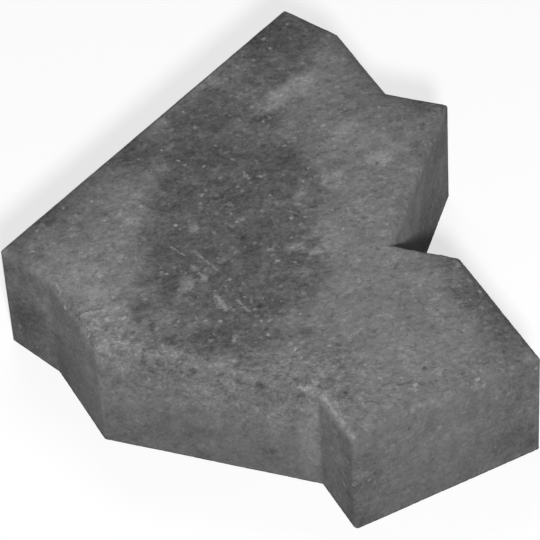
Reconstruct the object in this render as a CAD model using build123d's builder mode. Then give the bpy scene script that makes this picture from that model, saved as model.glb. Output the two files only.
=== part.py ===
"""Edging stone: an L-shaped interlocking paving block of dense concrete with one straight side.

One piece of stock. Seen from above it is an L: a wide bar along the straight kerb side, and a
narrower leg that runs back from it on the right. Every side but the straight one is a zigzag,
so that the stone locks into the paving behind it, and only the straight side can form a kerb line.

Frame: +Z up, the bed face at z = 0, the straight side faces -Y and the leg points to +Y.
The origin lies in the middle of the stone's box, on the bed face.
"""

from build123d import *

import os

# Main sizes in millimetres
kerb_length = 200.0
thickness = 60.0

# Zigzag: every flank stands at this angle to the kerb line or to its square
tooth_angle = 22.5

# Flank lengths, measured between sharp corners
end_depth = 31.0
shoulder_length = 47.0
short_length = 30.0
leg_length = 71.0
cross_length = 93.0

# Upright corners are rounded, and a bevel runs round the top face
corner_radius = 2.0
arris = 3.0

# Headings of the walk round the teeth, in degrees from +X
back_right = 90 - tooth_angle
back_left = 90 + tooth_angle
front_right = 270 + tooth_angle
front_left = 270 - tooth_angle
across_back = 180 - tooth_angle
across_front = 180 + tooth_angle

# The outline walks once round the teeth, from the right shoulder to the left one. Each side of
# the stone repeats the flanks that its neighbour needs: the long flank on the right is as long as
# one short flank and the leg's flank together, so both shoulders end level with each other.
with BuildSketch() as plan:
    with BuildLine():
        right_shoulder = PolarLine((0, 0), shoulder_length, back_right)
        long_flank = PolarLine(right_shoulder @ 1, short_length + leg_length, back_left)
        leg_step = PolarLine(long_flank @ 1, short_length, back_right)
        leg_end = PolarLine(leg_step @ 1, cross_length, across_back)
        leg_side = PolarLine(leg_end @ 1, leg_length, front_left)
        inner_step = PolarLine(leg_side @ 1, short_length, front_right)
        inner_side = PolarLine(inner_step @ 1, cross_length, across_front)
        left_step = PolarLine(inner_side @ 1, short_length, front_right)
        left_shoulder = PolarLine(left_step @ 1, shoulder_length, front_left)

        # The straight side is centred between the shoulders, and the plain ends close the outline
        middle = (left_shoulder @ 1).X / 2
        kerb_left = (middle - kerb_length / 2, -end_depth)
        kerb_right = (middle + kerb_length / 2, -end_depth)
        Polyline(left_shoulder @ 1, kerb_left, kerb_right, (0, 0))
    make_face()

# The corners that stand out are rounded in the footprint, and the three hollow ones stay sharp
with BuildSketch() as footprint:
    add(plan.sketch)
    hollows = [long_flank @ 1, inner_step @ 1, left_step @ 1]
    proud_corners = footprint.vertices().filter_by(
        lambda corner: min((corner.center() - hollow).length for hollow in hollows) > corner_radius
    )
    fillet(proud_corners, radius=corner_radius)

middle_of_box = footprint.sketch.bounding_box().center()

with BuildPart() as edging_stone:
    # The block with sharp upright corners, and a bevel round the top face only: the bed face
    # keeps plain edges
    with BuildSketch():
        with Locations((-middle_of_box.X, -middle_of_box.Y)):
            add(plan.sketch)
    extrude(amount=thickness)
    top_face = edging_stone.faces().sort_by(Axis.Z)[-1]
    chamfer(top_face.edges(), length=arris)

    # What stands outside the rounded footprint goes. The rounding is smaller than the bevel, so it
    # runs out part of the way up each mitre.
    with BuildSketch():
        with Locations((-middle_of_box.X, -middle_of_box.Y)):
            add(footprint.sketch)
    extrude(amount=thickness, mode=Mode.INTERSECT)

edging_stone.part.label = "edging_stone"

os.makedirs("parts", exist_ok=True)
export_step(edging_stone.part, "parts/edging_stone.step")

box = edging_stone.part.bounding_box()
print("size", box.size, "volume", edging_stone.part.volume)
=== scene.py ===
# %% [markdown]
# Edging stone: a pressed block of dense dark concrete that ends a field of interlocking paving.
# The CAD model gives its exact outline, thickness and bevel. Real concrete is never that clean:
# the arrises crumble, stones in the mix break out and leave pits, and feet and lorries polish and
# stain the top. This lesson keeps the CAD block as its frame and models that surface round it.

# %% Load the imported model
from math import cos, radians, sin

import bpy
import numpy as np
from mathutils import Matrix, Vector
from mathutils.bvhtree import BVHTree


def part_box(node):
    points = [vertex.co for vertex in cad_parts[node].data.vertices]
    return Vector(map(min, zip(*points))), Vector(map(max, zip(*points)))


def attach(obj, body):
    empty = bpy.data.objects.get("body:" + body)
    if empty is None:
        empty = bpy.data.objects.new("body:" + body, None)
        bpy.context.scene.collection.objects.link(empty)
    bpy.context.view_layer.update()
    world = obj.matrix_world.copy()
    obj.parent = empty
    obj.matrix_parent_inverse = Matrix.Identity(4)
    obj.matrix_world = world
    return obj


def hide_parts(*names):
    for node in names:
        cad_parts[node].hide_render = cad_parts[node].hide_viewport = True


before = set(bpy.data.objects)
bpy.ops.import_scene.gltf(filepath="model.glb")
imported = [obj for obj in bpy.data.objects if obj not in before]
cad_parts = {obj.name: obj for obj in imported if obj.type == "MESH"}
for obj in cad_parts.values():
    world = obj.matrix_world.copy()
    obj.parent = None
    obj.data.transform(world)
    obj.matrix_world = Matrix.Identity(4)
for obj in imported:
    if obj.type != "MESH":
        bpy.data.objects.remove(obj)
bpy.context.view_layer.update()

cad_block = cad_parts["edging_stone"]
low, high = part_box("edging_stone")
MM = 0.001
print("block in mm", [round(size / MM, 1) for size in high - low])

# %% [markdown]
# The camera comes first, because every look is judged through it. A corner fit against the
# photograph says that it was taken with a long lens from beyond the outer corner of the leg, 46
# degrees up, and held a little askew. The camera is placed by those angles: back from the point
# that it looks at, along the line of sight, and then rolled.

# %% Camera at the photograph's angle
IMAGE_SIZE = 540
FOCAL_PIXELS = 3599
SENSOR_WIDTH = 36
LOOK_AT = Vector((12.41, -24.66, 37.16)) * MM
DISTANCE = 1.614
AZIMUTH = radians(132.35)
ELEVATION = radians(46.09)
ROLL = radians(3.74)


def direction(azimuth, elevation):
    """Unit vector from the stone towards a camera or lamp at these angles."""
    return Vector((sin(azimuth) * cos(elevation), -cos(azimuth) * cos(elevation), sin(elevation)))


sight = direction(AZIMUTH, ELEVATION)
bpy.ops.object.camera_add(location=LOOK_AT + sight * DISTANCE)
camera = bpy.context.object
camera.name = "photo_camera"
camera.data.sensor_width = SENSOR_WIDTH
camera.data.lens = FOCAL_PIXELS * SENSOR_WIDTH / IMAGE_SIZE
camera.data.clip_start = 0.05
camera.data.clip_end = 30
turn = sight.to_track_quat("Z", "Y").to_matrix() @ Matrix.Rotation(-ROLL, 3, "Z")
camera.rotation_euler = turn.to_euler()
bpy.context.scene.camera = camera
print("lens", round(camera.data.lens, 1), "mm at", [round(v, 3) for v in camera.location])

# %% [markdown]
# The block starts as a copy of the CAD mesh. That mesh is loose triangles, so the copy is merged
# before anything else is done to it. The copy is then edited freely, and the CAD node stays as it
# is. Two helpers do what a hand does all the time: select one object, and switch a mode on and off.

# %% Copy of the block
def pick(*objects):
    """Select these objects and nothing else, the last one active."""
    bpy.ops.object.select_all(action="DESELECT")
    for item in objects:
        item.select_set(True)
    bpy.context.view_layer.objects.active = objects[-1]


def edit(piece, *steps):
    """Run edit-mode steps on a whole piece."""
    pick(piece)
    bpy.ops.object.mode_set(mode="EDIT")
    bpy.ops.mesh.select_all(action="SELECT")
    for step in steps:
        step()
    bpy.ops.object.mode_set(mode="OBJECT")


stone = bpy.data.objects.new("stone_block", cad_block.data.copy())
bpy.context.scene.collection.objects.link(stone)
edit(stone, lambda: bpy.ops.mesh.remove_doubles(threshold=0.001 * MM))
print("merged copy:", len(stone.data.vertices), "corners,", len(stone.data.polygons), "faces")

# %% [markdown]
# The rim of the bed face is the block's outline in plan. Its short edges are read from the merged
# copy now, while it is still clean. Later steps measure from this rim how far any point of the
# surface lies from the nearest side.

# %% Outline and clean surface to measure from
FACES_DOWN = -0.9
FAR_AWAY = 1.0


def read_points(mesh):
    """The places of all points of a mesh, one row each."""
    flat = np.empty(len(mesh.vertices) * 3)
    mesh.vertices.foreach_get("co", flat)
    return flat.reshape(-1, 3)


def read_rim(mesh):
    """Start and end, in plan, of every edge between the bed face and a side."""
    points = read_points(mesh)
    bed = {face.index for face in mesh.polygons if face.normal.z < FACES_DOWN}
    uses = {}
    for face in mesh.polygons:
        for key in face.edge_keys:
            uses.setdefault(key, []).append(face.index in bed)
    edges = [key for key, sides in uses.items() if sorted(sides) == [False, True]]
    return np.array([(points[a][:2], points[b][:2]) for a, b in edges])


def nearest_on(edges, points):
    """Nearest place in plan on these edges, and the distance to it, for each point."""
    places = np.zeros((len(points), 2))
    distances = np.full(len(points), FAR_AWAY)
    for start, end in edges:
        run = end - start
        along = np.clip((points[:, :2] - start) @ run / (run @ run), 0, 1)
        place = start + along[:, None] * run
        distance = np.hypot(*(points[:, :2] - place).T)
        closer = distance < distances
        places[closer], distances[closer] = place[closer], distance[closer]
    return places, distances


def inset_from(edges, points):
    """Shortest distance in plan from each point to these edges."""
    return nearest_on(edges, points)[1]


rim = read_rim(stone.data)
clean = BVHTree.FromPolygons(
    [v.co.copy() for v in stone.data.vertices],
    [tuple(p.vertices) for p in stone.data.polygons],
)
length_round = sum(np.hypot(*(end - start)) for start, end in rim)
print("outline of", len(rim), "edges,", round(length_round / MM), "mm round")

# %% [markdown]
# Chips are bites out of the arris, and pits are holes where a small stone has come out of the
# mix. Each is cut by a small rough lump, a sphere with its surface thrown about and stretched, and
# one Boolean takes all the lumps away. The places of the larger ones follow the photograph. The
# far arrises are straight lines there, so they get no chips. A pit's lump is a little longer than
# wide and stands a little out of the surface, and each is turned further than the one before.

# %% Chips and pits to cut
CHIPS = [
    # x, y, z, half length, half width, heading of the edge in degrees
    (77.3, 46.6, 59.0, 4.2, 2.0, 112),
    (110.9, -42.8, 58.8, 2.6, 1.6, 112),
    (104.9, -27.3, 59.6, 2.4, 1.5, 112),
    (99.9, -12.5, 58.9, 2.6, 1.5, 112),
    (94.5, 1.7, 58.8, 2.2, 1.5, 112),
    (89.5, 13.1, 58.9, 2.4, 1.4, 112),
    (86.7, 20.7, 59.0, 1.8, 1.2, 112),
    (83.3, 29.1, 58.9, 2.4, 1.4, 112),
    (104.5, -56.1, 59.0, 2.2, 1.3, 67),
    (98.7, -68.9, 59.2, 3.0, 1.5, 67),
    (93.3, -86.7, 59.2, 2.4, 1.4, 67),
    (74.1, 56.9, 59.6, 2.4, 1.2, 67),
    (78.1, 67.1, 59.6, 2.6, 1.2, 67),
    (27.5, 103.9, 59.2, 2.4, 1.3, 157),
    (47.9, 95.3, 59.4, 2.2, 1.2, 157),
    (-58.1, 6.1, 59.8, 2.0, 1.0, 22),
    (-88.1, -7.5, 59.8, 1.8, 0.9, 22),
]
PITS = [
    # x, y, z, radius
    (106.0, -30.4, 58.5, 1.5), (102.2, -20.2, 57.9, 1.4), (93.5, 0.7, 57.4, 1.7),
    (88.9, 11.7, 58.6, 1.2), (85.4, 20.2, 56.4, 1.6), (81.9, 28.6, 57.0, 1.6),
    (75.1, 45.0, 56.2, 2.0), (64.2, 61.8, 60.0, 1.1), (-81.4, -108.5, 60, 0.9),
    (2.2, -83.5, 60, 0.9), (-41.9, -107.9, 60, 0.8), (5.6, -80.5, 60, 0.7), (6.6, -56.1, 60, 0.8),
    (47.9, 0.7, 60, 1.3), (20.4, -32.5, 60, 0.7), (-52.0, -13.8, 60, 0.9), (-54.8, -103.1, 60, 0.7),
    (33.3, 80.2, 60, 0.9), (64.4, 92.3, 58.8, 1.2), (97.5, -5.6, 54.5, 1.0),
    (80.7, 31.5, 14.7, 1.3), (57.7, 91.1, 50.4, 0.8), (-10.1, 19.7, 60, 0.7),
    (-60.1, -60.3, 60, 0.6),
]
PIT_RISE, PIT_STRETCH, PIT_TURN = 0.2, 1.3, 25
LUMP_HEIGHT = 0.8
LUMP_ROUGHNESS = 0.2

places = list(CHIPS)
for number, (x, y, z, radius) in enumerate(PITS):
    places.append((x, y, z + PIT_RISE * radius, PIT_STRETCH * radius, radius, PIT_TURN * number))

lumps = []
for number, (x, y, z, length, width, heading) in enumerate(places):
    size = (length * MM, width * MM, LUMP_HEIGHT * width * MM)
    bpy.ops.mesh.primitive_ico_sphere_add(subdivisions=3, radius=1)
    lump = bpy.context.object
    edit(
        lump,
        lambda: bpy.ops.transform.vertex_random(
            offset=LUMP_ROUGHNESS, uniform=1, normal=0, seed=number),
        lambda: bpy.ops.transform.resize(value=size),
    )
    lump.rotation_euler.z = radians(heading)
    lump.location = Vector((x, y, z)) * MM
    lumps.append(lump)

pick(*lumps)
bpy.ops.object.join()
cutters = bpy.context.object
bpy.ops.object.transform_apply(location=True, rotation=True, scale=True)


def finish_modifier(piece, kind, **settings):
    """Add a modifier, give it its settings and apply it at once."""
    pick(piece)
    modifier = piece.modifiers.new(kind.lower(), kind)
    for name, value in settings.items():
        setattr(modifier, name, value)
    bpy.ops.object.modifier_apply(modifier=modifier.name)


finish_modifier(
    stone, "BOOLEAN", operation="DIFFERENCE", solver="EXACT", use_self=True, object=cutters)
bpy.data.objects.remove(cutters)
print(len(places), "bites cut,", len(stone.data.polygons), "faces left")

# %% [markdown]
# Relief needs an even, dense mesh. A voxel remesh turns the cut block into one skin of small
# quads. It also cuts a little off the sharp edge of the bed face, because the point of a voxel
# that holds the edge lies inside it. Those points are near the edge and on neither face, and they
# are put back on the edge, so that it stays as straight as it is in the photograph.

# %% Even skin
VOXEL = 0.76 * MM
NEAR_EDGE = 0.7 * VOXEL
ON_A_FACE = 0.05 * VOXEL
finish_modifier(stone, "REMESH", mode="VOXEL", voxel_size=VOXEL)
print("skin of", len(stone.data.polygons), "faces")

skin = read_points(stone.data)
edge_places, edge_gaps = nearest_on(rim, skin)
blunt = np.maximum(skin[:, 2], edge_gaps) < NEAR_EDGE
blunt &= np.minimum(skin[:, 2], edge_gaps) > ON_A_FACE
skin[blunt, :2], skin[blunt, 2] = edge_places[blunt], 0
stone.data.vertices.foreach_set("co", skin.ravel())
stone.data.update()
print(int(blunt.sum()), "points put back on the edge of the bed face")

# %% [markdown]
# The top and its arris keep all their points. The sides were pressed against a steel mould and are
# smoother, and the bed is hardly seen, so those are decimated to stay inside the budget of
# triangles. A narrow band along the edge of the bed is left alone, and so is the foot of the sides.

# %% Sides and bed thinned
FOOT = 1.0 * MM
UNDER_ARRIS = 53 * MM
BED_BAND = 2.5 * MM
SIDE_SKIN = 2.0 * MM


def thin_out(piece, chosen, ratio):
    """Decimate the faces that are chosen by their vertices."""
    mesh = piece.data
    pick(piece)
    for layer in (mesh.vertices, mesh.edges, mesh.polygons):
        layer.foreach_set("select", np.zeros(len(layer), bool))
    mesh.vertices.foreach_set("select", chosen(read_points(mesh)))
    bpy.ops.object.mode_set(mode="EDIT")
    bpy.ops.mesh.select_mode(type="VERT")
    bpy.ops.mesh.decimate(ratio=ratio)
    bpy.ops.object.mode_set(mode="OBJECT")


def on_bed(points):
    return (points[:, 2] < FOOT) & (inset_from(rim, points) > BED_BAND)


def on_sides(points):
    upright = (points[:, 2] > FOOT) & (points[:, 2] < UNDER_ARRIS)
    return upright & (inset_from(rim, points) < SIDE_SKIN)


thin_out(stone, on_bed, 0.04)
thin_out(stone, on_sides, 0.26)
stone.data.calc_loop_triangles()
print("thinned to", len(stone.data.loop_triangles), "triangles")

# %% [markdown]
# Where each relief acts is told by vertex groups, painted here by a rule instead of a brush: one
# for the arris, which wears most, one for the walked top, and one for the moulded sides. The
# surface is coarser along the long near flank, so a fourth group fades out from that edge, but
# not on the two narrow sides next to it, which are closed and smooth. The photograph shows the
# far arrises as crisp, straight lines, so the arris group is weak there.

# %% Where the relief acts
NEAR_FLANK = np.array([[(110.68, -40.79), (72.02, 52.52)]]) * MM
CLOSED_SIDES = np.array([
    [(110.68, -40.79), (92.69, -84.21)], [(72.02, 52.52), (83.5, 80.24)],
]) * MM
SOUND_EDGES = np.array([
    [(91.08, -115.21), (-108.92, -115.21)], [(-108.92, -115.21), (-110.53, -84.21)],
    [(-110.53, -84.21), (-92.55, -40.79)], [(-92.55, -40.79), (-104.03, -13.08)],
    [(-2.42, 115.83), (-29.59, 50.23)],
]) * MM
# Inset and depth of the bevel's middle, and how far round it the arris wears, in millimetres
BEVEL_MIDDLE, ARRIS_REACH = 1.5, 3.5
# How far the coarse zone reaches in from the flank and down the side
COARSE_REACH, COARSE_DEPTH = 26.0, 30.0
# How fast the closed sides and the sound arrises fade out at their ends
CLOSED_FADE, SOUND_FADE = 5 * MM, 8 * MM


def regions(points):
    """Inset from the side, and the masks made from it and from the depth under the top."""
    inset = inset_from(rim, points) / MM
    depth = (high.z - points[:, 2]) / MM
    from_bevel = np.hypot(inset - BEVEL_MIDDLE, depth - BEVEL_MIDDLE)
    from_flank = inset_from(NEAR_FLANK, points) / MM
    side = np.clip((depth - BEVEL_MIDDLE) / ARRIS_REACH, 0, 1)
    closed = side * np.exp(-inset_from(CLOSED_SIDES, points) / CLOSED_FADE)
    sound = np.exp(-(inset_from(SOUND_EDGES, points) / SOUND_FADE) ** 2)
    near_flank = np.clip(1.3 - from_flank / COARSE_REACH, 0, 1)
    high_up = np.clip(1.2 - depth / COARSE_DEPTH, 0, 1)
    return {
        "inset": inset,
        "arris": np.clip(1.3 - from_bevel / ARRIS_REACH, 0, 1) * (1 - 0.75 * sound),
        "top": np.clip((inset - 1.0) / 3.0, 0, 1) * (depth < 6),
        "side": side,
        "coarse": near_flank * high_up * (1 - 0.8 * closed),
    }


def paint_group(piece, name, weights, shades=20):
    """Make a vertex group, its weights rounded to this many shades."""
    group = piece.vertex_groups.new(name=name)
    steps = np.round(weights * shades).astype(int)
    for step in range(1, shades + 1):
        group.add(np.flatnonzero(steps == step).tolist(), step / shades, "REPLACE")


for name, weights in regions(read_points(stone.data)).items():
    if name != "inset":
        paint_group(stone, name, weights)
        print(name, "group holds", int((weights > 0.5).sum()), "points")

# %% [markdown]
# The relief is a stack of Displace modifiers, each with one procedural texture. A value of 1
# leaves the surface where it is, and everything below pushes it in. Clouds with little contrast
# make the slow unevenness and the open grain. Strong contrast makes the same clouds steep, with
# separate bites and knobs, which is how an arris crumbles and how sand falls out of the surface.

# %% Relief
def relief(name, size, depth_mm, group="", **settings):
    """Press one kind of cloud into the stone, where the vertex group allows it."""
    texture = bpy.data.textures.new(name, "CLOUDS")
    texture.noise_scale = size * MM
    for key, value in settings.items():
        setattr(texture, key, value)
    before = read_points(stone.data)
    finish_modifier(
        stone, "DISPLACE", texture=texture, texture_coords="LOCAL", strength=depth_mm * MM,
        mid_level=1.0, vertex_group=group,
    )
    moved = np.linalg.norm(read_points(stone.data) - before, axis=1) / MM
    print(f"{name}: mean {moved.mean():.2f} mm, most {moved.max():.2f} mm")


relief("slow unevenness", 28, 0.25)
relief("crumbled arris", 4.0, 0.6, "arris", noise_depth=4, contrast=2.0, intensity=1.3)
relief("open grain", 3.0, 0.34, "top", noise_depth=2)
relief("lost sand", 2.2, 0.24, "top", noise_depth=2, contrast=3.0, intensity=2.0)
relief("coarse flank", 3.2, 0.42, "coarse", noise_depth=2, contrast=2.4, intensity=1.6)
relief("mould grain", 2.6, 0.11, "side", noise_depth=3)

# %% [markdown]
# Clouds with strong contrast also go past 1, so the highest grains stand a few tenths of a
# millimetre out of the stone. On a real one the mould, and then the feet, keep them level, and the
# stone must not grow past its real size. Each such point is put back on the clean surface.

# %% Highest grains planed level
points = read_points(stone.data)
proud = 0
for number, point in enumerate(points):
    place, normal = clean.find_nearest(Vector(point))[:2]
    if (Vector(point) - place).dot(normal) > 0:
        points[number] = place
        proud += 1
stone.data.vertices.foreach_set("co", points.ravel())
stone.data.update()
print(proud, "points planed level")
pick(stone)
bpy.ops.object.shade_smooth()
stone.vertex_groups.clear()

# %% [markdown]
# Marks that sit at one place are painted one by one, and here the brush is a list of places. A pale
# grain is a small cone of value round its place, and a scratch, a worn length of arris or a painted
# highlight along an arris is the same cone drawn along a line. The finish cuts them off with a
# ragged threshold, so that they get a crisp, uneven border that is finer than the mesh. The cones
# are a little wider than the marks, because a slope as steep as the smallest ones would fall
# between two points.

# %% Pale grains, scratches and wear by place
GRAINS = [
    # x, y, z, radius
    (-20.1, -95.1, 60, 1.0), (7.2, -71.3, 60, 1.1), (11.4, -64.2, 60, 1.4),
    (-25.1, -106.1, 60, 0.7), (-56.9, -93.9, 60, 0.7), (-68.2, -100.2, 60, 0.8),
    (-15.0, -68.0, 60, 1.0), (-10.4, -57.0, 60, 1.1), (-3.6, -75.7, 60, 0.9),
    (-28.5, -76.2, 60, 0.9), (-41.3, -68.9, 60, 0.9), (-14.6, -108.1, 60, 0.7),
    (7.8, -50.3, 60, 1.0), (12.3, -46.9, 60, 0.9), (2.4, -35.7, 60, 1.4), (3.1, -30.4, 60, 0.9),
    (14.3, -40.5, 60, 0.9), (28.6, -55.0, 60, 1.3), (-10.4, -26.1, 60, 1.3), (-5.2, -25.6, 60, 1.0),
    (-9.8, -20.6, 60, 1.0), (-1.8, -22.8, 60, 1.0), (-2.1, -17.2, 60, 1.0), (-23.0, -33.7, 60, 1.1),
    (-10.9, -56.2, 60, 0.9), (57.9, -45.0, 60, 0.8), (47.3, -38.0, 60, 1.2), (52.8, -5.5, 60, 0.9),
    (33.1, -81.5, 60, 1.0), (43.7, -20.6, 60, 0.9), (19.5, -26.2, 60, 0.8), (19.0, 2.2, 60, 0.9),
    (30.1, 10.7, 60, 0.9), (52.1, 8.8, 60, 1.0), (40.9, 17.2, 60, 0.8), (70.5, -17.0, 60, 1.0),
    (68.8, -12.7, 60, 0.9), (82.8, -29.4, 60, 1.3), (85.0, -34.2, 60, 1.0), (-80.7, -60.8, 60, 1.1),
    (-72.8, -62.9, 60, 0.7), (-62.5, -60.5, 60, 0.7), (-56.8, -49.3, 60, 0.9),
    (-46.9, 1.9, 60, 1.6), (-18.3, 11.2, 60, 0.9), (-71.2, 1.0, 60, 0.7), (-48.2, -18.3, 60, 0.8),
    (-22.5, 4.7, 60, 0.7), (41.9, 56.1, 60, 1.3), (31.8, 60.8, 60, 0.9), (26.2, 104.9, 59, 1.5),
    (24.3, 101.5, 60, 1.0), (41.9, 98.1, 60, 1.0), (51.2, 91.4, 60, 1.0), (49.4, 94.3, 60, 0.8),
    (45.9, 84.5, 60, 0.7), (62.6, 68.2, 60, 1.0), (22.6, 81.7, 60, 0.6), (91.5, -18.2, 60, 1.5),
    (105.9, -29.3, 59.5, 1.1), (102.5, -24.3, 60, 1.4), (97.9, -12.9, 60, 1.1),
    (76.5, 39.9, 60, 1.6), (70.5, 4.7, 60, 1.2), (57.1, 25.4, 60, 1.3), (85.4, -26.9, 60, 0.9),
    (80.0, 6.4, 60, 1.0), (96.9, -71.3, 59, 0.9), (81.9, 40.2, 57.5, 1.0), (12.8, 109.5, 44.9, 0.9),
    (17.4, 107.6, 26.0, 0.9), (45.9, 95.8, 23.1, 0.8), (71.6, 85.2, 27.8, 0.8),
    (74.4, 84.0, 25.3, 0.8), (66.2, 87.4, 41.3, 0.7), (99.4, -68.0, 44.4, 0.8),
]
SCRATCHES = [
    # start x, y, end x, y, z, half width
    (43.9, -54.3, 44.6, -46.1, 60, 0.5), (48.9, -33.8, 50.5, -28.3, 60, 0.6),
    (55.1, -18.6, 57.9, -10.5, 60, 1.6), (40.0, -43.0, 42.8, -28.5, 60, 0.6),
    (51.4, -9.8, 53.2, -1.4, 60, 0.5), (-11.7, -58.5, -9.7, -53.7, 60, 0.5),
    (40.3, 42.6, 31.0, 44.2, 60, 0.4), (72.3, 87.1, 68.9, 88.5, 58.8, 0.6),
]
# Worn lengths of arris, partly painted highlights: bright lines where an arris catches the lamp
WEAR_AND_HIGHLIGHTS = [
    # start x, y, end x, y, z, half width
    (75.5, 64.1, 78.5, 71.3, 58.6, 1.1), (80.1, 75.3, 81.7, 79.0, 58.6, 1.0),
    (71.2, 53.9, 74.7, 62.0, 58.7, 0.7), (72.3, 47.7, 73.9, 44.3, 59.2, 0.7),
    (-50.5, 8.1, -37.5, 13.5, 59.2, 0.4), (91.3, -80.7, 93.5, -75.5, 59.0, 0.4),
    # Painted highlight: the far bevel along the kerb, lightened because it faces away from the lamp
    (-104.0, -113.8, 89.0, -113.8, 58.5, 0.5),
]
CONE_MARGIN = 0.6


def cones(points, places):
    """Value 1 at each place, about one half at its radius, and 0 past twice that."""
    value = np.zeros(len(points))
    for x, y, z, radius in places:
        gap = np.linalg.norm(points / MM - (x, y, z), axis=1)
        value = np.maximum(value, 1 - gap / (2 * radius + CONE_MARGIN))
    return np.clip(value, 0, 1)


def ridges(points, lines):
    """The same along short straight lines."""
    value = np.zeros(len(points))
    for x0, y0, x1, y1, z, width in lines:
        start, end = np.array((x0, y0, z)), np.array((x1, y1, z))
        run = end - start
        along = np.clip((points / MM - start) @ run / (run @ run), 0, 1)
        gap = np.linalg.norm(points / MM - (start + along[:, None] * run), axis=1)
        value = np.maximum(value, 1 - gap / (2 * width + CONE_MARGIN))
    return np.clip(value, 0, 1)


print(len(GRAINS), "grains,", len(SCRATCHES) + len(WEAR_AND_HIGHLIGHTS), "scratches and worn lengths of arris")

# %% [markdown]
# Stains and pale clouds are larger and soft. Each is a rounded box turned to a heading, and its
# value falls from 1 inside to 0 outside over a chosen width. The big dark field in the middle of
# the top is the first of the stains. One stain is a painted shadow deep in the notch, and some pale
# clouds are painted highlights along arrises.

# %% Soft fields
STAINS_AND_SHADOW = [
    # x, y, z, half length, half width, half height, heading, soft width, strength
    (17.8, -40.4, 60, 65, 39, 9, 41, 22, 1.0),
    (-18.1, -94.3, 60, 36, 16, 9, 10, 16, 0.95),
    (-42.1, -74.3, 60, 24, 12, 9, 60, 16, 0.8),
    (-82.1, -100.3, 60, 32, 20, 9, 40, 24, 0.8),
    (-40.1, -31.3, 60, 6, 4, 9, 0, 5, 0.5),
    (-50.0, -57.0, 60, 9, 7, 9, 0, 12, 0.45),
    (-82.0, -88.0, 60, 12, 8, 9, 0, 12, 0.6),
    (-50.0, -103.0, 60, 14, 8, 9, 0, 10, 0.6),
    (-30.0, 5.0, 60, 10, 6, 9, 127, 10, 0.35),
    (69.0, 23.0, 60, 10, 6, 9, 127, 9, 0.45),
    (-15.0, 82.0, 60, 44, 13, 9, 67, 22, 0.85),
    (71.0, 1.0, 60, 31, 9, 9, 127, 11, 0.9),
    (1.0, -95.0, 60, 22, 11, 9, 127, 10, 0.95),
    (-90.0, -72.0, 60, 14, 8, 9, 67, 14, 0.25),
    (-90.0, -20.0, 60, 14, 11, 9, 22, 18, 0.6),
    (83.5, 80.5, 16, 12, 12, 34, 0, 20, 0.6),
    (-4.1, 109.7, 30, 24, 10, 40, 157, 20, 0.7),
    (92.0, -104.0, 22, 14, 8, 32, 90, 14, 0.7),
    (96.0, -78.0, 8, 16, 8, 24, 67, 16, 0.6),
    (-60.1, 4.7, 16, 12, 50, 34, 112, 20, 0.75),
    (-103.0, -12.0, 56, 8, 7, 8, 22, 9, 0.7),
    # Painted shadow: the shade deep in the notch, painted dark at the foot of the inner side
    (-54.0, 7.6, 10, 14, 6, 13, 22, 5, 1.0),
    (52.0, -110.0, 60, 42, 13, 6, 0, 14, 0.5),
    (78.0, -99.0, 60, 13, 8, 6, 0, 12, 0.45),
    (-23.0, 45.0, 60, 9, 7, 9, 67, 12, 0.5),
    (82.0, -35.0, 60, 9, 9, 9, 127, 9, 0.8),
    (95.9, -8.3, 10, 34, 12, 10, 112, 16, 0.35),
    (80.9, 31.7, 13, 7, 6, 6, 112, 6, 0.5),
    (63.9, 92.7, 58, 4, 3, 3, 157, 3, 0.5),
]
BLOOMS_AND_HIGHLIGHTS = [
    # The same nine numbers for each pale cloud and each painted highlight
    (-65, -76, 60, 20, 5.5, 9, -9, 5, 1.0),
    (-32, -24, 60, 6, 6, 9, 127, 5, 1.0),
    (-62, -40, 60, 9, 4, 9, -10, 5, 0.95),
    (-54, -16, 60, 6, 4, 9, 127, 4, 1.0),
    (-94, -74, 60, 5, 3.5, 9, 127, 4, 0.8),
    (43, -78, 60, 4, 3, 9, 127, 3, 1.0),
    (34, -81, 60, 3, 2.5, 9, 127, 3, 0.8),
    (79, 82, 32, 7, 5, 5, 157, 5, 0.6),
    # Painted highlight: the far bevel along the kerb, lightened because it faces away from the lamp
    (60, -114.5, 57.5, 34, 3, 3, 0, 3, 0.8),
    (10, -10, 60, 5, 3.5, 9, 127, 4, 0.9),
    (-3, -6, 60, 6, 3, 9, 127, 4, 0.8),
    (7, -2, 60, 6, 3, 9, 127, 4, 0.7),
    (19, 3, 60, 5, 3, 9, 127, 4, 0.7),
    (32, -30, 60, 5, 5, 9, 0, 6, 0.45),
    (57, -33, 60, 4, 5, 9, 127, 5, 0.8),
    (48, -37, 60, 2.2, 2, 9, 127, 2, 0.9),
    (50, -30, 60, 2, 2, 9, 127, 2, 0.8),
    (66, -29, 60, 4, 3, 9, 127, 4, 0.6),
    (29, -54, 60, 2.5, 3, 9, 127, 3, 0.9),
    (-18, -30, 60, 6, 2, 9, 10, 4, 0.8),
    (36, 4, 60, 9, 3, 9, -45, 5, 0.5),
    (-2, 0, 60, 14, 6, 9, 40, 8, 0.6),
    (47, -30, 60, 11, 6, 9, 41, 8, 0.25),
    (86, -64, 60, 40, 13, 9, 60, 14, 0.6),
    (92, -88, 59, 14, 7, 4, 87, 9, 0.55),
    (106, -40, 58, 22, 8, 9, 112, 8, 0.65),
    (22, 112, 56, 12, 5, 6, 157, 7, 0.5),
    (100, -20, 60, 24, 5, 5, 112, 7, 0.4),
    (-15, 19, 60, 8, 7, 6, 127, 6, 0.4),
    (92, -92, 42, 5, 8, 7, 90, 8, 0.6),
    (74, 48, 34, 4.5, 5, 28, 112, 7, 1.0),
    (92, 5, 46, 12, 5, 10, 112, 8, 0.5),
    (80, 34, 42, 16, 5, 12, 112, 9, 0.5),
    (-36, -111, 60, 20, 7, 6, 0, 9, 0.5),
    # Painted highlights: the bright arris by the leg's inner corner, where it catches the lamp
    (77, 65, 59, 14, 5, 5, 67, 5, 1.0),
    (73, 50, 59, 4, 3, 3, 112, 3, 1.0),
]


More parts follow.
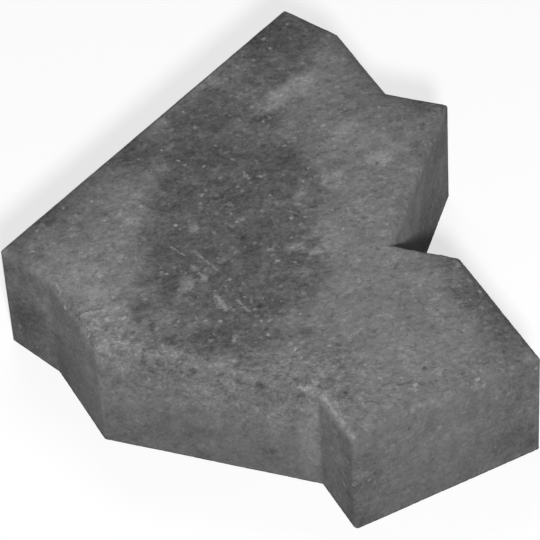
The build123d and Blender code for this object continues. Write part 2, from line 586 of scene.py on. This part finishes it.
def fields(points, places):
    """Each place's strength inside its turned, rounded box, and 0 outside."""
    value = np.zeros(len(points))
    for x, y, z, length, width, height, heading, soft, strength in places:
        gap = points / MM - (x, y, z)
        turned = radians(heading)
        along = gap[:, 0] * cos(turned) + gap[:, 1] * sin(turned)
        across = gap[:, 1] * cos(turned) - gap[:, 0] * sin(turned)
        terms = abs(along / length) ** 3 + abs(across / width) ** 3 + abs(gap[:, 2] / height) ** 3
        inside = (1 - terms ** (1 / 3)) * min(length, width) / soft
        value = np.maximum(value, strength * np.clip(0.5 + inside, 0, 1))
    return value


print(len(STAINS_AND_SHADOW), "stains and", len(BLOOMS_AND_HIGHLIGHTS), "pale clouds")

# %% [markdown]
# All masks are written to the mesh as attributes, which the material reads by name. Two more are
# measured here. One makes the top darker along the far rim; it fades inwards and stops at the
# bevel.
# The other is how deep each point now lies under the clean surface, for painted shade in deep
# holes.

# %% Masks for the finish
DARK_FAR_RIM = np.array([
    [(91, -115), (2, -115)], [(-84, -115), (-109, -115)], [(-109, -115), (-110.5, -84)],
    [(-110.5, -84), (-92.5, -41)], [(-92.5, -41), (-100, -22)],
]) * MM
DARK_RIM_REACH = 11.0 * MM
BEVEL_WIDTH = 3.5
DEEP_FROM, DEEP_OVER = 1.5, 1.6

points = read_points(stone.data)
masks = regions(points)
inset = masks.pop("inset")
del masks["top"]    # the finish has no use for it
sunk = np.array([clean.find_nearest(Vector(point))[3] for point in points]) / MM
beyond_bevel = np.clip(inset / BEVEL_WIDTH, 0, 1)
masks["rim"] = np.exp(-inset_from(DARK_FAR_RIM, points) / DARK_RIM_REACH) * beyond_bevel
masks["sunk"] = np.clip((sunk - DEEP_FROM) / DEEP_OVER, 0, 1)
masks["grain"] = cones(points, GRAINS)
masks["pit"] = cones(points, PITS)
masks["scratch"] = ridges(points, SCRATCHES)
masks["wear_and_highlight"] = ridges(points, WEAR_AND_HIGHLIGHTS)
masks["stain_and_shadow"] = fields(points, STAINS_AND_SHADOW)
masks["bloom_and_highlight"] = fields(points, BLOOMS_AND_HIGHLIGHTS)
for name, values in masks.items():
    layer = stone.data.attributes.new(name, "FLOAT", "POINT")
    layer.data.foreach_set("value", values.astype(np.float32))
    print(name, "from", round(float(values.min()), 2), "to", round(float(values.max()), 2))

# %% [markdown]
# Short helpers make the shader nodes: a group with its sockets, a node with its links, and the
# sums that are needed most. With them the recipe of the finish can be read from top to bottom.

# %% Helpers for shader nodes
VECTOR, FLOAT = "NodeSocketVector", "NodeSocketFloat"


def new_group(name, inputs, outputs):
    """A shader group, with the sockets that it is given and those that it fills."""
    group = bpy.data.node_groups.new(name, "ShaderNodeTree")
    for name, kind, default in inputs:
        socket = group.interface.new_socket(name=name, in_out="INPUT", socket_type=kind)
        if default is not None:
            socket.default_value = default
    for name in outputs:
        group.interface.new_socket(name=name, in_out="OUTPUT", socket_type=FLOAT)
    given = group.nodes.new("NodeGroupInput").outputs
    made = group.nodes.new("NodeGroupOutput").inputs
    return group, given, made


def fill(tree, node, sources):
    """Link each socket to its source, or set it where the source is a plain value."""
    for socket, source in sources.items():
        if isinstance(source, bpy.types.NodeSocket):
            tree.links.new(source, node.inputs[socket])
        else:
            node.inputs[socket].default_value = source
    return node


def add(tree, kind, sources=None, **settings):
    """Add one node, its sockets fed by the sources."""
    node = tree.nodes.new("ShaderNode" + kind)
    for name, value in settings.items():
        setattr(node, name, value)
    return fill(tree, node, sources or {})


def maths(tree, operation, first, second=0.0, clamp=False):
    return add(tree, "Math", {0: first, 1: second}, operation=operation, use_clamp=clamp).outputs[0]


def plus(tree, first, second, clamp=False):
    return maths(tree, "ADD", first, second, clamp)


def times(tree, first, second):
    return maths(tree, "MULTIPLY", first, second)


def step(tree, value, low_end, high_end, to_low=0.0, to_high=1.0):
    """Smooth step of a value between two ends."""
    ends = {0: value, 1: low_end, 2: high_end, 3: to_low, 4: to_high}
    return add(tree, "MapRange", ends, interpolation_type="SMOOTHSTEP").outputs[0]


def noise(tree, vector, size, detail, roughness):
    """Noise whose largest clouds have this size in metres."""
    if isinstance(size, bpy.types.NodeSocket):
        scale = maths(tree, "DIVIDE", 1.0, size)
    else:
        scale = 1.0 / size
    sources = {"Vector": vector, "Scale": scale, "Detail": detail, "Roughness": roughness}
    return add(tree, "TexNoise", sources).outputs["Fac"]


def swing(tree, value, depth):
    """How far a noise lies over or under its middle, times this depth."""
    return times(tree, maths(tree, "SUBTRACT", value, 0.5), depth)


print("helpers ready")

# %% [markdown]
# Concrete is grey paste with sand and small stones in it. Seen close, its tone changes at every
# size at once, from a hand's breadth down to a grain of sand, and no size stands out. Noise with
# many octaves and a high roughness does just that. A second, slower noise makes large clouds.

# %% Shader group: paste
paste, given, made = new_group(
    "cement paste",
    [("Vector", VECTOR, None), ("Mottle Size", FLOAT, 0.008), ("Mottle Depth", FLOAT, 0.8),
     ("Cloud Size", FLOAT, 0.03), ("Cloud Depth", FLOAT, 0.3)],
    ["Tone", "Mottle"],
)
mottle = noise(paste, given["Vector"], given["Mottle Size"], detail=5.0, roughness=0.92)
cloud = noise(paste, given["Vector"], given["Cloud Size"], detail=3.0, roughness=0.6)
mottle_part = swing(paste, mottle, given["Mottle Depth"])
cloud_part = swing(paste, cloud, given["Cloud Depth"])
tone = plus(paste, 1.0, plus(paste, mottle_part, cloud_part))
paste.links.new(tone, made["Tone"])
paste.links.new(mottle, made["Mottle"])
print("group", paste.name, "with", len(paste.nodes), "nodes")

# %% [markdown]
# Sand grains that lie open in the surface are cells of a Voronoi texture. Only a share of the
# cells is shown, each with a size of its own, and noise shifts the position first, so that no
# grain is a neat disc. Most grains are small: the random number is raised to a power for that.

# %% Shader group: open grains
grains, given, made = new_group(
    "open grains",
    [("Vector", VECTOR, None), ("Spacing", FLOAT, 0.003), ("Share", FLOAT, 0.2),
     ("Filling", FLOAT, 0.3)],
    ["Mask", "Shade"],
)
COAST_SCALE, COAST_SHIFT = 700.0, 0.0022
SMALLEST, SOFT_BORDER = 0.45, 0.14

ragged = add(grains, "TexNoise", {
    "Vector": given["Vector"], "Scale": COAST_SCALE, "Detail": 3.0})
shift = add(grains, "VectorMath", {
    0: ragged.outputs["Color"], 1: (0.5, 0.5, 0.5)}, operation="SUBTRACT")
shift = add(grains, "VectorMath", {0: shift.outputs[0], "Scale": COAST_SHIFT}, operation="SCALE")
moved = add(grains, "VectorMath", {0: given["Vector"], 1: shift.outputs[0]}, operation="ADD")
cells = add(grains, "TexVoronoi", {
    "Vector": moved.outputs[0], "Scale": maths(grains, "DIVIDE", 1.0, given["Spacing"])})
draw = add(grains, "SeparateColor", {0: cells.outputs["Color"]}).outputs
chosen = maths(grains, "LESS_THAN", draw[0], given["Share"])
spread = plus(grains, SMALLEST, maths(grains, "POWER", draw[1], 3.0))
radius = times(grains, given["Filling"], spread)
inside = maths(grains, "SUBTRACT", radius, cells.outputs["Distance"])
body = maths(grains, "DIVIDE", inside, SOFT_BORDER, clamp=True)
grains.links.new(times(grains, body, chosen), made["Mask"])
grains.links.new(draw[2], made["Shade"])
print("group", grains.name, "with", len(grains.nodes), "nodes")

# %% [markdown]
# Flakes are patches where a film of paste is left or has come off. Noise cut off at a threshold
# gives islands with the ragged coast that they have.

# %% Shader group: flakes
flakes, given, made = new_group(
    "flakes",
    [("Vector", VECTOR, None), ("Size", FLOAT, 0.004), ("Threshold", FLOAT, 0.6),
     ("Edge", FLOAT, 0.05)],
    ["Mask"],
)
island = noise(flakes, given["Vector"], given["Size"], detail=4.0, roughness=0.7)
far_end = plus(flakes, given["Threshold"], given["Edge"])
flakes.links.new(step(flakes, island, given["Threshold"], far_end), made["Mask"])
print("group", flakes.name, "with", len(flakes.nodes), "nodes")

# %% [markdown]
# Now the finish itself. All of its noise reads Object coordinates. In the photograph the grain
# runs in short strokes, so two Mapping nodes draw the patterns out, along one heading on the top
# and along another, sloping one on the sides. The helpers place a group, read a painted mask, mix
# two values, and tear the soft border of a mask with noise.

# %% Concrete: coordinates and helpers
TOP_HEADING, TOP_DRAW = radians(147), (1.28, 1.0, 0.9)
SIDE_HEADING, SIDE_SLOPE, SIDE_DRAW = radians(68), radians(-42), (1.8, 1.0, 1.0)

concrete = bpy.data.materials.new("worn_concrete")
concrete.use_nodes = True
tree = concrete.node_tree
shader = tree.nodes["Principled BSDF"]
place = add(tree, "TexCoord").outputs["Object"]
drawn = add(tree, "Mapping", {
    "Vector": place, "Rotation": (0, 0, TOP_HEADING), "Scale": TOP_DRAW,
}, vector_type="TEXTURE").outputs[0]
side_drawn = add(tree, "Mapping", {
    "Vector": place, "Rotation": (0, SIDE_SLOPE, SIDE_HEADING), "Scale": SIDE_DRAW,
}, vector_type="TEXTURE").outputs[0]


def use(node_group, **sources):
    """Place a group in the material, its sockets fed by the sources."""
    node = tree.nodes.new("ShaderNodeGroup")
    node.node_tree = node_group
    sources = {socket.replace("_", " "): source for socket, source in sources.items()}
    return fill(tree, node, {"Vector": place, **sources}).outputs


def mask(name):
    return add(tree, "Attribute", attribute_name=name).outputs["Fac"]


def mix(share, first, second):
    return add(tree, "Mix", {0: share, 2: first, 3: second}, data_type="FLOAT").outputs[0]


def ragged_mask(name, size, wobble, low_end, high_end):
    """An attribute with its border broken up by noise."""
    torn = swing(tree, noise(tree, place, size, detail=4.0, roughness=0.7), wobble)
    return step(tree, plus(tree, mask(name), torn), low_end, high_end)


print("patterns drawn out", TOP_DRAW[0], "times on the top and", SIDE_DRAW[0], "on the sides")

# %% [markdown]
# The finish starts with the paste on the top and on the sides. Its mottle is stronger where the
# surface is coarse or stained, and calmer on the leg. Then come the soft fields: stains darken, and
# one is a painted shadow in the notch; clouds are paler, and some are painted highlights on
# arrises;
# the top is darker along the far rim; the arris is a little darker, a painted shade that dims the
# light its bevel catches; and each side is darker towards the bottom.

# %% Concrete: paste and soft fields
TOP_GREY, SIDE_GREY = 0.168, 0.127
LEG_START, LEG_FULL = 0.0, 0.05
FOOT_HEIGHT = 0.04

side, coarse = mask("side"), mask("coarse")
stain_and_shadow = ragged_mask("stain_and_shadow", 0.022, 1.7, 0.1, 0.95)
bloom_and_highlight = ragged_mask("bloom_and_highlight", 0.006, 1.3, 0.15, 0.95)
stain_and_shadow = times(tree, stain_and_shadow, mix(bloom_and_highlight, 1.0, 0.3))
axes = add(tree, "SeparateXYZ", {0: place}).outputs
calm = step(tree, axes["Y"], LEG_START, LEG_FULL, 1.6, 1.25)
top_depth = plus(tree, plus(tree, coarse, times(tree, stain_and_shadow, 0.6)), calm)
side_depth = plus(tree, times(tree, coarse, 1.3), 1.6)
top_paste = use(
    paste, Vector=drawn, Mottle_Depth=top_depth, Cloud_Size=0.022, Cloud_Depth=0.5)
side_paste = use(
    paste, Vector=side_drawn, Mottle_Size=0.007, Mottle_Depth=side_depth, Cloud_Size=0.03,
    Cloud_Depth=0.28)
grey = mix(
    side, times(tree, top_paste["Tone"], TOP_GREY), times(tree, side_paste["Tone"], SIDE_GREY))
soft_fields = [
    # Stains, and the painted shadow in the notch
    mix(stain_and_shadow, 1.0, 0.54),
    # Pale clouds, and painted highlights on arrises
    mix(bloom_and_highlight, 1.0, 1.30),
    mix(mask("rim"), 1.0, 0.54),
    # Painted shade: the arris is darker, to dim the light that its bevel catches
    mix(mask("arris"), 1.0, 0.90),
    step(tree, axes["Z"], 0.0, FOOT_HEIGHT, 0.82, 1.0),
]
for factor in soft_fields:
    grey = times(tree, grey, factor)
print("paste and", len(soft_fields), "soft fields")

# %% [markdown]
# On top of that come the marks with a border. This cell makes their masks: pale and dark flakes,
# stones, specks and sand, and the marks by place. The sides have fewer, because the mould face
# closes the surface with a skin of paste. The dark flakes read their noise far away from the pale
# ones, so that the two don't share their islands.

# %% Concrete: masks of flakes, grains and marks
fewer = plus(tree, mix(side, 1.0, 0.35), times(tree, coarse, 0.5), clamp=True)
elsewhere = add(tree, "Mapping", {"Vector": drawn, "Location": (0.3, 0.1, 0.2)}).outputs[0]
pale_flakes = use(flakes, Vector=drawn, Size=0.0034, Threshold=0.52, Edge=0.14)["Mask"]
dark_flakes = use(flakes, Vector=elsewhere, Size=0.0028, Threshold=0.55, Edge=0.10)["Mask"]
stones = use(grains, Spacing=0.0036, Share=0.35, Filling=0.28)
specks = use(grains, Spacing=0.0034, Share=mix(stain_and_shadow, 0.25, 0.75), Filling=0.34)
sand = use(grains, Spacing=0.0021, Share=0.8, Filling=0.55)
grain = ragged_mask("grain", 0.0014, 2.1, 0.42, 0.95)
pit = ragged_mask("pit", 0.0016, 1.8, 0.30, 0.85)
scratch = ragged_mask("scratch", 0.0014, 2.2, 0.35, 1.0)
wear_and_highlight = ragged_mask("wear_and_highlight", 0.0022, 1.3, 0.30, 0.90)
grit = mix(
    side, noise(tree, drawn, 0.0016, detail=3.0, roughness=0.8),
    noise(tree, side_drawn, 0.0014, detail=3.0, roughness=0.8))
print("masks made, the material has", len(tree.nodes), "nodes so far")

# %% [markdown]
# Each mark is now laid on with its own grey, from the finest to the largest. Sand and grit only
# shift the tone, more so where the surface is coarse or stained. Stones, specks and the marks by
# place cover it, each stone with a shade of its own. Holes come last: they get painted shade, dark
# whatever lies round them.

# %% Concrete: marks laid on
open_surface = maths(tree, "MAXIMUM", coarse, stain_and_shadow)
grit_depth = plus(tree, mix(side, 0.75, 1.0), times(tree, open_surface, 0.9))
sand_depth = plus(tree, mix(side, 0.75, 0.5), times(tree, open_surface, 0.6))
sand_share = times(tree, sand["Mask"], sand_depth)
grey = times(tree, grey, mix(sand_share, 1.0, mix(sand["Shade"], 0.72, 1.36)))
grey = times(tree, grey, plus(tree, 1.0, swing(tree, grit, grit_depth)))
grey = times(tree, grey, mix(times(tree, pale_flakes, fewer), 1.0, 1.32))
grey = times(tree, grey, mix(times(tree, dark_flakes, fewer), 1.0, 0.82))

stone_shade = mix(maths(tree, "POWER", stones["Shade"], 2.0), 0.15, 0.36)
speck_shade = mix(maths(tree, "POWER", specks["Shade"], 1.5), 0.12, 0.25)
grain_tone = noise(tree, place, 0.012, detail=1.0, roughness=0.5)
grain_shade = step(tree, grain_tone, 0.35, 0.65, 0.18, 0.36)
grey = mix(times(tree, stones["Mask"], fewer), grey, stone_shade)
grey = mix(times(tree, specks["Mask"], times(tree, fewer, 0.7)), grey, speck_shade)
grey = mix(times(tree, grain, 0.75), grey, grain_shade)
grey = mix(times(tree, scratch, 0.7), grey, 0.29)
# Worn arris, and painted highlights on arrises
grey = mix(times(tree, wear_and_highlight, 0.7), grey, 0.31)
# Painted shade: points that lie deep under the clean surface are darker
grey = times(tree, grey, mix(mask("sunk"), 1.0, 0.5))
# Painted shade in the pits
grey = times(tree, grey, mix(pit, 1.0, 0.55))
colour = add(tree, "CombineColor", {0: grey, 1: grey, 2: grey}).outputs[0]
tree.links.new(colour, shader.inputs["Base Color"])
print("colour recipe of", len(tree.nodes), "nodes")

# %% [markdown]
# Dry concrete is rough all the way down, and a rough surface throws light back towards where it
# came from. Seen from near the lamp, its slanting faces look almost as bright as its level ones.
# Diffuse Roughness gives the shader that, and the bump gives it the grain that the mesh can't
# hold. The bump reads the same grit, stones and flakes as the colour, so that pale grains also
# stand proud and dark flakes lie deeper.

# %% Concrete: surface
BUMP_DISTANCE = 0.0009

shader.inputs["Diffuse Roughness"].default_value = 0.5
shader.inputs["Specular IOR Level"].default_value = 0.3
tree.links.new(mix(top_paste["Mottle"], 0.75, 0.98), shader.inputs["Roughness"])
raised = times(tree, plus(tree, stones["Mask"], grain), 0.25)
lowered = times(tree, dark_flakes, 0.3)
bump_height = maths(tree, "SUBTRACT", plus(tree, grit, raised), lowered)
strength = times(tree, mix(side, 0.7, 0.36), plus(tree, times(tree, coarse, 0.3), 1.0))
bump = add(tree, "Bump", {"Height": bump_height, "Strength": strength, "Distance": BUMP_DISTANCE})
tree.links.new(bump.outputs[0], shader.inputs["Normal"])
stone.data.materials.clear()
stone.data.materials.append(concrete)
print("finish", concrete.name, "with", len(tree.nodes), "nodes")

# %% [markdown]
# The dressed block stands for the CAD node and moves with it.

# %% Place in the frame
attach(stone, "root")
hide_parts("edging_stone")
print("stone_block rides on root")

# %% [markdown]
# The set is a plain pale floor. To the camera and in reflections it looks white, mostly by a glow
# of its own, and the rest of its white comes from the lamps, so that the stone's shadow still
# shows. To the stone it is darker and doesn't glow, so that the sides keep their shade.

# %% Floor
UNSEEN_GREY, SEEN_GREY, GLOW = 0.22, 0.32, 0.7

bpy.ops.mesh.primitive_plane_add(size=8, location=(0, 0, 0))
floor = bpy.context.object
floor.name = "studio_floor"
pale_floor = bpy.data.materials.new("pale_floor")
pale_floor.use_nodes = True
floor_tree = pale_floor.node_tree
floor_shader = floor_tree.nodes["Principled BSDF"]
rays = add(floor_tree, "LightPath").outputs
mirrored = maths(floor_tree, "MAXIMUM", rays["Is Glossy Ray"], rays["Is Transmission Ray"])
seen = maths(floor_tree, "MAXIMUM", rays["Is Camera Ray"], mirrored)
shade = add(floor_tree, "Mix", {
    0: seen, 6: (UNSEEN_GREY, UNSEEN_GREY, UNSEEN_GREY, 1), 7: (SEEN_GREY, SEEN_GREY, SEEN_GREY, 1),
}, data_type="RGBA")
floor_tree.links.new(shade.outputs[2], floor_shader.inputs["Base Color"])
floor_shader.inputs["Emission Color"].default_value = (1, 1, 1, 1)
floor_tree.links.new(times(floor_tree, seen, GLOW), floor_shader.inputs["Emission Strength"])
floor_shader.inputs["Roughness"].default_value = 0.9
floor_shader.inputs["Specular IOR Level"].default_value = 0.0
floor.data.materials.append(pale_floor)
print("floor", floor.dimensions[0], "m wide")

# %% [markdown]
# The photograph was lit by one lamp close to the camera: only a small triangle of shadow shows,
# deep in the notch. A round soft box stands there. A wide, weak one behind the stone and a little
# light from all round keep the far sides readable.

# %% Lamps
WORLD_LEVEL = 0.105


def soft_box(name, azimuth, elevation, distance, size, level):
    """A round area lamp that gives this level on a surface that faces it at the origin."""
    towards = direction(radians(azimuth), radians(elevation))
    bpy.ops.object.light_add(type="AREA", location=towards * distance)
    lamp = bpy.context.object
    lamp.name = name
    lamp.rotation_euler = towards.to_track_quat("Z", "Y").to_euler()
    lamp.data.shape = "DISK"
    lamp.data.size = size
    lamp.data.energy = level * np.pi ** 2 * distance ** 2
    print(name, round(lamp.data.energy, 1), "W at", [round(v, 2) for v in lamp.location])


soft_box("key_box", 135, 39, 2.0, 0.22, 1.06)
soft_box("fill_box", 318, 52, 2.4, 1.2, 0.22)
world = bpy.data.worlds.new("studio_light")
bpy.context.scene.world = world
world.use_nodes = True
world.node_tree.nodes["Background"].inputs["Color"].default_value = (1, 1, 1, 1)
world.node_tree.nodes["Background"].inputs["Strength"].default_value = WORLD_LEVEL
bpy.context.scene.view_settings.view_transform = "Standard"
